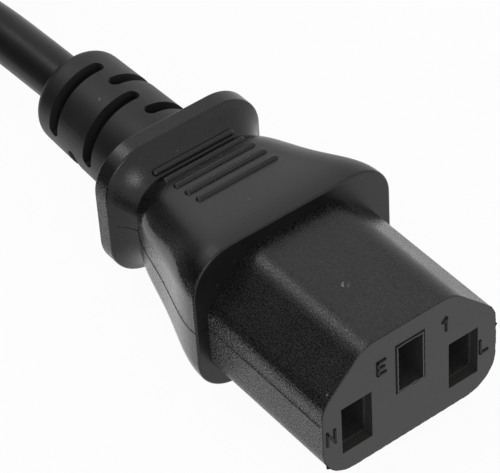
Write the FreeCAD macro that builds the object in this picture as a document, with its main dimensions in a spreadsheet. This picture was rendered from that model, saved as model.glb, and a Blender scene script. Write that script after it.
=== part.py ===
import FreeCAD, Part
import math
import os

import Sketcher

# A mains extension cord: a moulded socket connector at one end, a moulded plug at the other, and a round
# cord between them, most of it folded into a tied hank. Millimetres, +Z up, with the origin on the
# surface under the middle of the connector and the cord leaving along +Y.
# Each end is drawn in a frame of its own: x across, y from its mating face towards the cord, z up, with
# the origin on the moulding's axis. The connector and the plug share the grip and the strain relief.

DRIVING = {
    # nose of the connector, a bevelled block that goes into the mating inlet
    "nose_width": 22.75,
    "nose_height": 15.85,
    "nose_length": 18.7,
    "nose_bevel": 5.55,
    "bevel_rounding": 3.4,
    "nose_rounding": 4.0,
    "face_rounding": 0.15,
    # contact layout, the same in both ends
    "row_spacing": 14.0,
    "row_drop": 2.0,
    "earth_rise": 4.1,
    "window_width": 3.9,
    "window_height": 6.4,
    "earth_window_height": 6.9,
    "window_lip": 0.2,
    "face_skin": 1.2,
    "collar_gap": 0.12,
    "collar_wall": 0.22,
    "collar_set_back": 0.15,
    # grip: stations from the shoulder towards the cord, and the sections there
    "land_station": 1.2,
    "near_station": 7.3,
    "far_station": 12.3,
    "waist_station": 16.7,
    "slope_station": 18.0,
    "flange_station": 19.25,
    "grip_length": 21.4,
    "near_share": 0.35,
    "far_share": 0.645,
    "slope_share": 0.36,
    "shoulder_width": 25.9,
    "shoulder_height": 19.3,
    "shoulder_corner": 5.0,
    "shoulder_edge": 0.25,
    "waist_width": 16.5,
    "waist_height": 11.4,
    "waist_corner": 3.8,
    "flange_width": 20.6,
    "flange_height": 17.2,
    "flange_corner": 5.2,
    "flange_edge": 0.25,
    "axis_height": 9.6,
    # finger ribs across the grip
    "rib_first": 9.3,
    "rib_pitch": 2.0,
    "rib_length": 10.8,
    "rib_thickness": 0.9,
    "rib_sink": 0.11,
    # slotted strain relief
    "relief_length": 18.7,
    "relief_foot": 12.8,
    "relief_tip": 11.7,
    "relief_edge": 1.5,
    "slot_first": 4.4,
    "slot_pitch": 3.37,
    "slot_width": 1.65,
    "slot_floor": 8.2,
    "right_slot_start": 7.0,
    "right_slot_sweep": 70.0,
    "left_slot_start": 5.0,
    "left_slot_sweep": 91.0,
    # carrier and spring contacts inside the connector
    "insert_wall": 1.5,
    "insert_end": 22.0,
    "chamber_end": 17.5,
    "contact_width": 3.1,
    "contact_height": 3.8,
    "strip_thickness": 0.4,
    "leaf_root": 11.5,
    "pinch_station": 8.0,
    "pinch_gap": 1.5,
    "mouth_station": 5.5,
    "mouth_gap": 2.3,
    "barrel_diameter": 2.4,
    "contact_barrel_end": 25.0,
    # shroud, carrier and pins of the plug
    "shroud_width": 27.4,
    "shroud_height": 20.4,
    "shroud_corner": 4.5,
    "shroud_length": 20.0,
    "shroud_edge": 0.8,
    "mating_gap": 0.45,
    "cavity_depth": 17.0,
    "pin_thickness": 2.0,
    "pin_height": 4.0,
    "pin_tip": 2.5,
    "earth_pin_tip": 0.8,
    "pin_chamfer": 0.6,
    "carrier_end": 27.0,
    "pin_barrel_end": 30.5,
    # cores and cord
    "cord_diameter": 6.0,
    "jacket_grip": 17.0,
    "core_diameter": 2.1,
    "strand_diameter": 1.2,
    "core_circle": 1.25,
    "core_lead": 3.0,
    # hank of the put-away cord and its strap
    "fold_radius": 18.0,
    "fold_half_distance": 37.0,
    "hank_waist": 12.4,
    "hank_slack": 0.6,
    "hank_layers": 4.0,
    "hank_across": 8.0,
    "hank_along": 127.0,
    "strap_width": 10.0,
    "strap_thickness": 1.0,
    "strap_corner": 2.5,
    "strap_tail": 10.0,
    # where the plug lies
    "plug_along": 283.1,
}

RIB_COUNT = 5
SLOT_RINGS = 4
POLES = ("line", "neutral", "earth")
TOLERANCE = 1e-4
# share of the shorter run that a bend of the cord may take up
BEND_SHARE = 0.45

# Routes of the free cord, from the connector to the hank and from the hank to the plug.
CONNECTOR_ROUTE = [
    (0.0, 29.4, 9.6),
    (0.0, 32.0, 9.6),
    (-0.35, 49.5, 9.1),
    (-1.4, 60.5, 6.2),
    (-4.2, 71.0, 3.7),
    (-8.4, 81.5, 3.1),
    (-9.8, 91.0, 3.2),
]
PLUG_ROUTE = [
    (-9.8, 163.0, 21.0),
    (-9.4, 174.5, 20.8),
    (-6.4, 186.0, 18.6),
    (-2.4, 198.0, 14.4),
    (0.0, 211.0, 10.2),
    (0.0, 223.0, 10.2),
]

doc = FreeCAD.newDocument("extension_cord")
size = doc.addObject("Spreadsheet::Sheet", "size")
for row, (alias, value) in enumerate(DRIVING.items(), start=1):
    size.set(f"A{row}", alias)
    size.set(f"B{row}", str(value))
    size.setAlias(f"B{row}", alias)
doc.recompute()


def number(expression):
    """The value of an expression on the sheet."""
    value = size.evalExpression(str(expression))
    return float(getattr(value, "Value", value))


CONNECTOR_LENGTH = "(size.nose_length + size.grip_length + size.relief_length)"
PLUG_LENGTH = "(size.shroud_length + size.grip_length + size.relief_length)"
CONNECTOR_FRAME = FreeCAD.Placement(
    FreeCAD.Vector(0, -number(CONNECTOR_LENGTH) / 2, number("size.axis_height")),
    FreeCAD.Rotation(),
)
PLUG_FRAME = FreeCAD.Placement(
    FreeCAD.Vector(0, number("size.plug_along"), number("size.shroud_height / 2")),
    FreeCAD.Rotation(FreeCAD.Vector(0, 0, 1), 180),
)


def pole_place(pole):
    """Where a pole's contact or pin sits on the mating face, as expressions for x and z."""
    if pole == "earth":
        return "0", "size.earth_rise - size.row_drop"
    side = "" if pole == "line" else "-"
    return f"{side}size.row_spacing / 2", "-size.row_drop"


# Sketch helpers


def new_body(label, placement=FreeCAD.Placement()):
    body = doc.addObject("PartDesign::Body", label)
    body.Label = label
    body.Placement = placement
    return body


def new_sketch(body, role, station=None):
    """A sketch on one of the body's origin planes; station moves an XZ sketch along y."""
    sketch = body.newObject("Sketcher::SketchObject", "Sketch")
    plane = next(f for f in body.Origin.OriginFeatures if f.Role == role)
    sketch.AttachmentSupport = [(plane, "")]
    sketch.MapMode = "FlatFace"
    if station is not None:
        sketch.setExpression("AttachmentOffset.Base.z", f"-({station})")
    return sketch


def bind_constraint(sketch, constraint, expression):
    index = sketch.addConstraint(constraint)
    sketch.setExpression(f"Constraints[{index}]", expression)


def place_point(sketch, geometry, position, x, y):
    """Hold one point of a sketch at coordinates given as expressions."""
    for kind, axis, expression in (("DistanceX", -2, x), ("DistanceY", -1, y)):
        value = number(expression)
        if abs(value) < TOLERANCE:
            sketch.addConstraint(Sketcher.Constraint("PointOnObject", geometry, position, axis))
        elif value > 0:
            constraint = Sketcher.Constraint(kind, -1, 1, geometry, position, value)
            bind_constraint(sketch, constraint, expression)
        else:
            constraint = Sketcher.Constraint(kind, geometry, position, -1, 1, -value)
            bind_constraint(sketch, constraint, f"-({expression})")


def polygon(sketch, corners):
    """A closed outline of straight lines through corners given as expressions."""
    points = [FreeCAD.Vector(number(x), number(y), 0) for x, y in corners]
    first = sketch.GeometryCount
    for a, b in zip(points, points[1:] + points[:1]):
        sketch.addGeometry(Part.LineSegment(a, b))
    for i, corner in enumerate(corners):
        following = first + (i + 1) % len(corners)
        sketch.addConstraint(Sketcher.Constraint("Coincident", first + i, 2, following, 1))
        place_point(sketch, first + i, 1, *corner)


def circle(sketch, x, y, radius):
    centre = FreeCAD.Vector(number(x), number(y), 0)
    ring = Part.Circle(centre, FreeCAD.Vector(0, 0, 1), number(radius))
    index = sketch.addGeometry(ring)
    place_point(sketch, index, 3, x, y)
    bind_constraint(sketch, Sketcher.Constraint("Radius", index, number(radius)), radius)


def rounded_rectangle(sketch, half_width, half_height, radius):
    """A rectangle about the sketch's origin with round corners."""
    w, h, r = number(half_width), number(half_height), number(radius)
    first = sketch.GeometryCount
    corners = [(1, 1, 0), (-1, 1, 90), (-1, -1, 180), (1, -1, 270)]
    for right, up, start in corners:
        centre = FreeCAD.Vector(right * (w - r), up * (h - r), 0)
        round_corner = Part.Circle(centre, FreeCAD.Vector(0, 0, 1), r)
        angles = math.radians(start), math.radians(start + 90)
        sketch.addGeometry(Part.ArcOfCircle(round_corner, *angles))
    arcs = [sketch.Geometry[first + i] for i in range(4)]
    for i in range(4):
        sketch.addGeometry(Part.LineSegment(arcs[i].EndPoint, arcs[(i + 1) % 4].StartPoint))
    for i, (right, up, _) in enumerate(corners):
        arc, line, following = first + i, first + 4 + i, first + (i + 1) % 4
        sketch.addConstraint(Sketcher.Constraint("Tangent", arc, 2, line, 1))
        sketch.addConstraint(Sketcher.Constraint("Tangent", line, 2, following, 1))
        bind_constraint(sketch, Sketcher.Constraint("Radius", arc, r), radius)
        x = f"{right} * ({half_width} - {radius})"
        place_point(sketch, arc, 3, x, f"{up} * ({half_height} - {radius})")


def bevelled_outline(offset):
    """Corners of the nose's outline, bevelled at the top and set off outwards by an expression."""
    side = f"(size.nose_width / 2 + {offset})"
    top = f"(size.nose_height / 2 + {offset})"
    sum_at_bevel = f"(size.nose_width / 2 + size.nose_height / 2 - size.nose_bevel + {offset} * sqrt(2))"
    return [
        (f"-{side}", f"-{top}"),
        (side, f"-{top}"),
        (side, f"{sum_at_bevel} - {side}"),
        (f"{sum_at_bevel} - {top}", top),
        (f"{top} - {sum_at_bevel}", top),
        (f"-{side}", f"{sum_at_bevel} - {side}"),
    ]


# Feature helpers


def pad(body, sketch, length, reverse=True, midplane=False):
    """A pad; from an XZ sketch it runs towards the cord when reversed."""
    feature = body.newObject("PartDesign::Pad", "Pad")
    feature.Profile = sketch
    feature.setExpression("Length", length)
    feature.Reversed = reverse
    feature.Midplane = midplane
    doc.recompute()
    return feature


def pocket(body, sketch, length, reverse=False):
    feature = body.newObject("PartDesign::Pocket", "Pocket")
    feature.Profile = sketch
    feature.setExpression("Length", length)
    feature.Reversed = reverse
    doc.recompute()
    return feature


def dress(kind, body, base, edges, value):
    """Round or chamfer the edges of a feature that pass a test."""
    feature = body.newObject(f"PartDesign::{kind}", kind)
    names = [f"Edge{i}" for i, edge in enumerate(base.Shape.Edges, start=1) if edges(edge)]
    feature.Base = (base, names)
    feature.setExpression("Radius" if kind == "Fillet" else "Size", value)
    doc.recompute()
    return feature


def at_station(edge, y):
    box = edge.BoundBox
    return abs(box.YMin - y) < TOLERANCE and abs(box.YMax - y) < TOLERANCE


def box(name, placement, x, y, z, width, length, height):
    """A box centred on x and z, from y towards the cord, in an end's frame."""
    solid = doc.addObject("Part::Box", name)
    solid.setExpression("Length", width)
    solid.setExpression("Width", length)
    solid.setExpression("Height", height)
    corner = FreeCAD.Vector(number(f"{x} - {width} / 2"), number(y), number(f"{z} - {height} / 2"))
    solid.Placement = placement.multiply(FreeCAD.Placement(corner, FreeCAD.Rotation()))
    return solid


def rod(name, placement, x, y, z, diameter, length):
    """A round rod along y in an end's frame."""
    solid = doc.addObject("Part::Cylinder", name)
    solid.setExpression("Radius", f"{diameter} / 2")
    solid.setExpression("Height", length)
    start = FreeCAD.Vector(number(x), number(y), number(z))
    along = FreeCAD.Rotation(FreeCAD.Vector(0, 0, 1), FreeCAD.Vector(0, 1, 0))
    solid.Placement = placement.multiply(FreeCAD.Placement(start, along))
    return solid


def fused(name, shapes):
    union = doc.addObject("Part::MultiFuse", name)
    union.Shapes = shapes
    return union


def cut(label, base, tool):
    result = doc.addObject("Part::Cut", label)
    result.Label = label
    result.Base = base
    result.Tool = tool
    doc.recompute()
    return result


# Grip and strain relief, shared by both ends


def lofted(body, sections):
    """A loft through rounded rectangles, each given by its station, width, height and corner."""
    sketches = []
    for station, (width, height, corner) in sections:
        sketch = new_sketch(body, "XZ_Plane", station)
        rounded_rectangle(sketch, f"{width} / 2", f"{height} / 2", corner)
        sketches.append(sketch)
    loft = body.newObject("PartDesign::AdditiveLoft", "Loft")
    loft.Profile = sketches[0]
    loft.Sections = sketches[1:]
    doc.recompute()
    return loft


def grip(body, start, front):
    """The waisted grip: in from the shoulder to the waist, out again up a hollow slope, and a flange."""
    waist = ("size.waist_width", "size.waist_height", "size.waist_corner")
    flange = ("size.flange_width", "size.flange_height", "size.flange_corner")

    def between(first, second, share):
        return tuple(f"({a} + ({b} - {a}) * size.{share})" for a, b in zip(first, second))

    inwards = [
        (start, front),
        (f"{start} + size.land_station", front),
        (f"{start} + size.near_station", between(front, waist, "near_share")),
        (f"{start} + size.far_station", between(front, waist, "far_share")),
        (f"{start} + size.waist_station", waist),
    ]
    outwards = [
        (f"{start} + size.waist_station", waist),
        (f"{start} + size.slope_station", between(waist, flange, "slope_share")),
        (f"{start} + size.flange_station", flange),
    ]
    lofted(body, inwards)
    lofted(body, outwards)
    sketch = new_sketch(body, "XZ_Plane", f"{start} + size.flange_station")
    width, height, corner = flange
    rounded_rectangle(sketch, f"{width} / 2", f"{height} / 2", corner)
    band = pad(body, sketch, "size.grip_length - size.flange_station")
    rims = [number(f"{start} + size.{station}") for station in ("flange_station", "grip_length")]

    def rim_edge(edge):
        return any(at_station(edge, rim) for rim in rims)

    return dress("Fillet", body, band, rim_edge, "size.flange_edge")


def ribs(body, start, base):
    """Round-ended finger ribs that lie half sunk in the grip, above and below."""
    for side in (1, -1):
        for i in range(RIB_COUNT):
            station = f"{start} + size.rib_first + {i} * size.rib_pitch"
            y = number(station)
            probe = Part.makeLine((0, y, 0), (0, y, side * number("size.shoulder_height")))
            surface = base.Shape.common(probe).BoundBox
            sketch = new_sketch(body, "XY_Plane")
            height = max(surface.ZMax, -surface.ZMin) - number("size.rib_sink")
            middle = FreeCAD.Vector(0, y, side * height)
            sketch.AttachmentOffset = FreeCAD.Placement(middle, FreeCAD.Rotation())
            sketch.setExpression("AttachmentOffset.Base.y", station)
            half_capsule(sketch, "size.rib_length / 2", "size.rib_thickness / 2")
            rib = body.newObject("PartDesign::Revolution", "Rib")
            rib.Profile = sketch
            rib.ReferenceAxis = (sketch, ["H_Axis"])
            rib.Angle = 360
    doc.recompute()


def half_capsule(sketch, half_length, radius):
    """Half of a long round-ended outline, closed along the sketch's horizontal axis."""
    tip, r = number(half_length), number(radius)
    ends = []
    for side, start in ((1, 0), (-1, 90)):
        centre = FreeCAD.Vector(side * (tip - r), 0, 0)
        round_end = Part.Circle(centre, FreeCAD.Vector(0, 0, 1), r)
        angles = math.radians(start), math.radians(start + 90)
        ends.append(sketch.addGeometry(Part.ArcOfCircle(round_end, *angles)))
    right, left = (sketch.Geometry[i] for i in ends)
    top = sketch.addGeometry(Part.LineSegment(right.EndPoint, left.StartPoint))
    axis = sketch.addGeometry(Part.LineSegment(left.EndPoint, right.StartPoint))
    sketch.addConstraint(Sketcher.Constraint("Tangent", ends[0], 2, top, 1))
    sketch.addConstraint(Sketcher.Constraint("Tangent", top, 2, ends[1], 1))
    sketch.addConstraint(Sketcher.Constraint("Coincident", ends[1], 2, axis, 1))
    sketch.addConstraint(Sketcher.Constraint("Coincident", axis, 2, ends[0], 1))
    sketch.addConstraint(Sketcher.Constraint("PointOnObject", axis, 1, -1))
    sketch.addConstraint(Sketcher.Constraint("PointOnObject", axis, 2, -1))
    place_point(sketch, ends[0], 3, f"{half_length} - {radius}", "0")
    place_point(sketch, ends[1], 3, f"{radius} - ({half_length})", "0")
    bind_constraint(sketch, Sketcher.Constraint("Radius", ends[0], r), radius)


def strain_relief(body, start):
    """A tapered round sleeve behind the flange, cut by staggered rings of flex slots."""
    end = f"{start} + size.relief_length"
    sketch = new_sketch(body, "YZ_Plane")
    inside = f"{start} - size.flange_edge"
    corners = [
        (inside, "0"),
        (inside, "size.relief_foot / 2"),
        (start, "size.relief_foot / 2"),
        (end, "size.relief_tip / 2"),
        (end, "0"),
    ]
    polygon(sketch, corners)
    sleeve = body.newObject("PartDesign::Revolution", "Sleeve")
    sleeve.Profile = sketch
    sleeve.ReferenceAxis = (sketch, ["H_Axis"])
    sleeve.Angle = 360
    doc.recompute()
    tip = number(end)
    dress("Fillet", body, sleeve, lambda edge: at_station(edge, tip), "size.relief_edge")
    middles = [f"({start} + size.slot_first + {ring} * size.slot_pitch)" for ring in range(SLOT_RINGS)]
    flex_slots(body, middles[0::2], "size.right_slot_start", "size.right_slot_sweep", 1)
    flex_slots(body, middles[1::2], "size.left_slot_start", "size.left_slot_sweep", -1)


def flex_slots(body, middles, start, sweep, way):
    """Round-ended slots part of the way round the sleeve from near its top, and the ones opposite them."""
    floor, outside = "size.slot_floor / 2", "(size.relief_foot / 2 + size.slot_width)"
    first = number(start)
    across = FreeCAD.Vector(0, 1, 0)
    sketch = new_sketch(body, "YZ_Plane")
    sketch.AttachmentOffset = FreeCAD.Placement(
        FreeCAD.Vector(), FreeCAD.Rotation(FreeCAD.Vector(1, 0, 0), first)
    )
    for middle in middles:
        near, far = f"{middle} - size.slot_width / 2", f"{middle} + size.slot_width / 2"
        polygon(sketch, [(near, floor), (far, floor), (far, outside), (near, outside)])
    before = body.Tip.Shape.Volume
    groove = body.newObject("PartDesign::Groove", "Slots")
    groove.Profile = sketch
    groove.ReferenceAxis = (sketch, ["H_Axis"])
    groove.setExpression("Angle", sweep)
    groove.Reversed = way < 0
    doc.recompute()
    cuts = [groove]
    for angle in (first, first + way * number(sweep)):
        turn = FreeCAD.Rotation(across, angle)
        ends = new_sketch(body, "XY_Plane")
        lift = turn.multVec(FreeCAD.Vector(0, 0, number(floor)))
        ends.AttachmentOffset = FreeCAD.Placement(lift, turn)
        for middle in middles:
            circle(ends, "0", middle, "size.slot_width / 2")
        cuts.append(pocket(body, ends, f"{outside} - {floor}", reverse=True))
    opposite = body.newObject("PartDesign::PolarPattern", "OppositeSlots")
    opposite.Originals = cuts
    opposite.Axis = (sketch, ["H_Axis"])
    opposite.Angle = 360
    opposite.Occurrences = 2
    body.Tip = opposite
    doc.recompute()
    print("slots cut", round(before - opposite.Shape.Volume, 1), "mm3")


# Round tubes: the cord and its cores


def tube_path(points):
    """Straight runs through the points, joined by arcs as large as their runs allow."""
    edges, radii = [], []
    start = points[0]
    for before, corner, after in zip(points, points[1:], points[2:]):
        arriving, leaving = corner - before, after - corner
        turn = arriving.getAngle(leaving)
        if turn < TOLERANCE:
            continue
        reach = BEND_SHARE * min(arriving.Length, leaving.Length)
        radii.append(reach / math.tan(turn / 2))
        enter = corner - arriving.normalize() * reach
        leave = corner + leaving.normalize() * reach
        inwards = (leaving - arriving).normalize()
        sag = radii[-1] * (1 / math.cos(turn / 2) - 1)
        edges.append(Part.LineSegment(start, enter).toShape())
        edges.append(Part.Arc(enter, corner + inwards * sag, leave).toShape())
        start = leave
    edges.append(Part.LineSegment(start, points[-1]).toShape())
    return Part.Wire(edges), radii


def tube(name, points, diameter):
    """A plain round tube along a path of straight runs and arcs."""
    points = [FreeCAD.Vector(*p) for p in points]
    wire, radii = tube_path(points)
    path = doc.addObject("Part::Feature", f"{name}_path")
    path.Shape = wire
    section = doc.addObject("Part::Circle", f"{name}_section")
    section.setExpression("Radius", f"{diameter} / 2")
    facing = FreeCAD.Rotation(FreeCAD.Vector(0, 0, 1), points[1] - points[0])
    section.Placement = FreeCAD.Placement(points[0], facing)
    swept = doc.addObject("Part::Sweep", name)
    swept.Sections = [section]
    swept.Spine = (path, [])
    swept.Solid = True
    doc.recompute()
    share = swept.Shape.Volume / (math.pi * number(f"{diameter} / 2") ** 2 * wire.Length)
    bends = [round(r, 1) for r in radii]
    print(name, "length", round(wire.Length, 1), "radii", bends, "filled", round(share, 4))
    return swept


# Insulated cores that fan out from the cord's end to the contacts or pins


def core_rod(name, frame, pole, start, end, diameter):
    """A round rod from behind a contact or pin, across to the pole's place in the cord."""
    x, z = (number(e) for e in pole_place(pole))
    angle = math.radians({"line": -30, "neutral": 210, "earth": 90}[pole])
    inner_x = number("size.core_circle") * math.cos(angle)
    inner_z = number("size.core_circle") * math.sin(angle)
    low, high, lead = number(start), number(end), number("size.core_lead")
    points = [(x, low, z), (x, low + lead, z), (inner_x, high - lead, inner_z), (inner_x, high, inner_z)]
    return tube(name, [frame.multVec(FreeCAD.Vector(*p)) for p in points], diameter)


def wiring(prefix, frame, barrel_start, barrel_end, jacket):
    """The three cores of one end: their copper, their insulation and the room they take."""
    nodes, room = [], []
    for pole in POLES:
        x, z = pole_place(pole)
        length = f"({barrel_end} - {barrel_start})"
        copper = [
            rod(f"{prefix}_crimped_{pole}", frame, x, barrel_start, z, "size.strand_diameter", length),
            core_rod(f"{prefix}_copper_{pole}", frame, pole, barrel_end, jacket, "size.strand_diameter"),
        ]
        strand = fused(f"{prefix}_strand_{pole}", copper)
        filled = core_rod(f"{prefix}_filled_{pole}", frame, pole, barrel_end, jacket, "size.core_diameter")
        nodes += [strand, cut(f"{prefix}_core_{pole}", filled, strand)]
        name = f"{prefix}_barrel_{pole}"
        room += [filled, rod(name, frame, x, barrel_start, z, "size.barrel_diameter", length)]
    return nodes, room


# Connector


def connector_moulding():
    """Nose, grip and strain relief as one shot, without the room for what they hold."""
    body = new_body("connector_moulding", CONNECTOR_FRAME)
    sketch = new_sketch(body, "XZ_Plane", "0")
    polygon(sketch, bevelled_outline("0"))
    nose = pad(body, sketch, "size.nose_length + size.shoulder_edge")
    below = -number("size.nose_rounding")

    def long_edge(edge):
        return edge.BoundBox.YLength > number("size.nose_length")

    def low_edge(edge):
        return long_edge(edge) and edge.BoundBox.ZMax < below

    def high_edge(edge):
        return long_edge(edge) and edge.BoundBox.ZMin > 0

    def outer_edge(edge):
        middle = edge.CenterOfMass
        beside = abs(middle.x) > number("size.nose_width / 2") + TOLERANCE
        above = abs(middle.z) > number("size.nose_height / 2") + TOLERANCE
        return at_station(edge, number("size.nose_length")) and (beside or above)

    nose = dress("Fillet", body, nose, low_edge, "size.nose_rounding")
    nose = dress("Fillet", body, nose, high_edge, "size.bevel_rounding")
    dress("Fillet", body, nose, lambda edge: at_station(edge, 0), "size.face_rounding")
    front = ("size.shoulder_width", "size.shoulder_height", "size.shoulder_corner")
    base = grip(body, "size.nose_length", front)
    base = dress("Fillet", body, base, outer_edge, "size.shoulder_edge")
    ribs(body, "size.nose_length", base)
    strain_relief(body, "size.nose_length + size.grip_length")
    under = new_sketch(body, "XY_Plane")
    under.setExpression("AttachmentOffset.Base.z", "-size.axis_height")
    half, near, far = "size.shoulder_width", "-size.face_skin", CONNECTOR_LENGTH
    polygon(under, [(f"-{half}", near), (half, near), (half, far), (f"-{half}", far)])
    pocket(body, under, "size.axis_height")
    return body


def carrier_block(label, frame, start, end):
    """The bevelled block of a contact or pin carrier, filled."""
    body = new_body(label, frame)
    sketch = new_sketch(body, "XZ_Plane", start)
    polygon(sketch, bevelled_outline("-size.insert_wall"))
    pad(body, sketch, f"{end} - {start}")
    return body


def window_height(pole):
    return "size.earth_window_height" if pole == "earth" else "size.window_height"


def earth_collar():
    """The thin collar of the carrier that stands in the earth window."""
    x, z = pole_place("earth")
    width = "(size.window_width - 2 * size.collar_gap)"
    height = "(size.earth_window_height - 2 * size.collar_gap)"
    length = "(size.face_skin - size.collar_set_back)"
    return box("earth_collar", CONNECTOR_FRAME, x, "size.collar_set_back", z, width, length, height)


def contact(pole):
    """A folded strip: two leaves that pinch a pin, a web behind them and a crimp barrel."""
    x, z = (number(e) for e in pole_place(pole))
    local = FreeCAD.Placement(FreeCAD.Vector(x, 0, z), FreeCAD.Rotation())
    body = new_body(f"contact_{pole}", CONNECTOR_FRAME.multiply(local))
    strip, web = "size.strip_thickness", "size.chamber_end"
    outer, pinch, mouth = "size.contact_width / 2", "size.pinch_gap / 2", "size.mouth_gap / 2"
    right = [
        (outer, web),
        (outer, "size.leaf_root"),
        (f"{pinch} + {strip}", "size.pinch_station"),
        (f"{mouth} + {strip}", "size.mouth_station"),
        (mouth, "size.mouth_station"),
        (pinch, "size.pinch_station"),
        (f"{outer} - {strip}", "size.leaf_root"),
        (f"{outer} - {strip}", f"{web} - {strip}"),
    ]
    left = [(f"-({across})", along) for across, along in reversed(right)]
    leaves = new_sketch(body, "XY_Plane")
    polygon(leaves, right + left)
    pad(body, leaves, "size.contact_height", reverse=False, midplane=True)
    ring = new_sketch(body, "XZ_Plane", web)
    circle(ring, "0", "0", "size.barrel_diameter / 2")
    circle(ring, "0", "0", "size.strand_diameter / 2")
    pad(body, ring, "size.contact_barrel_end - size.chamber_end")
    return body


def connector(lead):
    jacket = f"{CONNECTOR_LENGTH} - size.jacket_grip"
    cores, room = wiring(
        "connector", CONNECTOR_FRAME, "size.chamber_end", "size.contact_barrel_end", jacket
    )
    block = carrier_block("connector_carrier", CONNECTOR_FRAME, "size.face_skin", "size.insert_end")
    windows, chambers = [], []
    for pole in POLES:
        x, z = pole_place(pole)
        height = window_height(pole)
        window = (x, "0", z, "size.window_width", "size.face_skin", height)
        windows.append(box(f"window_{pole}", CONNECTOR_FRAME, *window))
        front, lip = "size.face_skin", "size.window_lip"
        if pole == "earth":
            front, lip = "size.collar_set_back", "(size.collar_gap + size.collar_wall)"
        width, depth = f"(size.window_width - 2 * {lip})", f"(size.chamber_end - {front})"
        chamber = (x, front, z, width, depth, f"({height} - 2 * {lip})")
        chambers.append(box(f"chamber_{pole}", CONNECTOR_FRAME, *chamber))
    barrels = [solid for solid in room if solid.TypeId == "Part::Cylinder"]
    carrier = fused("carrier_with_collar", [block, earth_collar()])
    insert = cut("connector_insert", carrier, fused("connector_chambers", chambers + barrels))
    hold = fused("connector_hold", [block, *windows, *room, lead])
    overmould = cut("connector_overmould", connector_moulding(), hold)
    contacts = [contact(pole) for pole in POLES]
    return [overmould, insert, *contacts, *cores]


# Plug


def plug_moulding():
    """Shroud, grip and strain relief as one shot, without the room for what they hold."""
    body = new_body("plug_moulding", PLUG_FRAME)
    sketch = new_sketch(body, "XZ_Plane", "0")
    rounded_rectangle(sketch, "size.shroud_width / 2", "size.shroud_height / 2", "size.shroud_corner")
    shroud = pad(body, sketch, "size.shroud_length")
    dress("Fillet", body, shroud, lambda edge: at_station(edge, 0), "size.shroud_edge")
    cavity = new_sketch(body, "XZ_Plane", "0")
    polygon(cavity, bevelled_outline("size.mating_gap"))
    pocket(body, cavity, "size.cavity_depth")
    front = ("size.shroud_width", "size.shroud_height", "size.shroud_corner")
    base = grip(body, "size.shroud_length", front)
    ribs(body, "size.shroud_length", base)
    strain_relief(body, "size.shroud_length + size.grip_length")
    return body


def pin(pole):
    """A flat pin with a chamfered tip and a crimp barrel behind."""
    x, z = (number(e) for e in pole_place(pole))
    local = FreeCAD.Placement(FreeCAD.Vector(x, 0, z), FreeCAD.Rotation())
    body = new_body(f"pin_{pole}", PLUG_FRAME.multiply(local))
    tip = "size.earth_pin_tip" if pole == "earth" else "size.pin_tip"
    sketch = new_sketch(body, "XZ_Plane", tip)
    half, tall = "size.pin_thickness / 2", "size.pin_height / 2"
    polygon(sketch, [(f"-{half}", f"-{tall}"), (half, f"-{tall}"), (half, tall), (f"-{half}", tall)])
    blade = pad(body, sketch, f"size.carrier_end - {tip}")
    front = number(tip)
    dress("Chamfer", body, blade, lambda edge: at_station(edge, front), "size.pin_chamfer")
    ring = new_sketch(body, "XZ_Plane", "size.carrier_end")
    circle(ring, "0", "0", "size.barrel_diameter / 2")
    circle(ring, "0", "0", "size.strand_diameter / 2")
    pad(body, ring, "size.pin_barrel_end - size.carrier_end")
    return body


def plug(lead):
    jacket = f"{PLUG_LENGTH} - size.jacket_grip"
    cores, room = wiring("plug", PLUG_FRAME, "size.carrier_end", "size.pin_barrel_end", jacket)
    block = carrier_block("plug_carrier", PLUG_FRAME, "size.cavity_depth", "size.carrier_end")
    slots = []
    for pole in POLES:
        x, z = pole_place(pole)
        depth = "(size.carrier_end - size.cavity_depth)"
        slot = (x, "size.cavity_depth", z, "size.pin_thickness", depth, "size.pin_height")
        slots.append(box(f"pin_slot_{pole}", PLUG_FRAME, *slot))
    insert = cut("plug_insert", block, fused("pin_slots", slots))
    overmould = cut("plug_overmould", plug_moulding(), fused("plug_hold", [block, *room, lead]))
    return [overmould, insert, *[pin(pole) for pole in POLES], *cores]


# Cord


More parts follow.
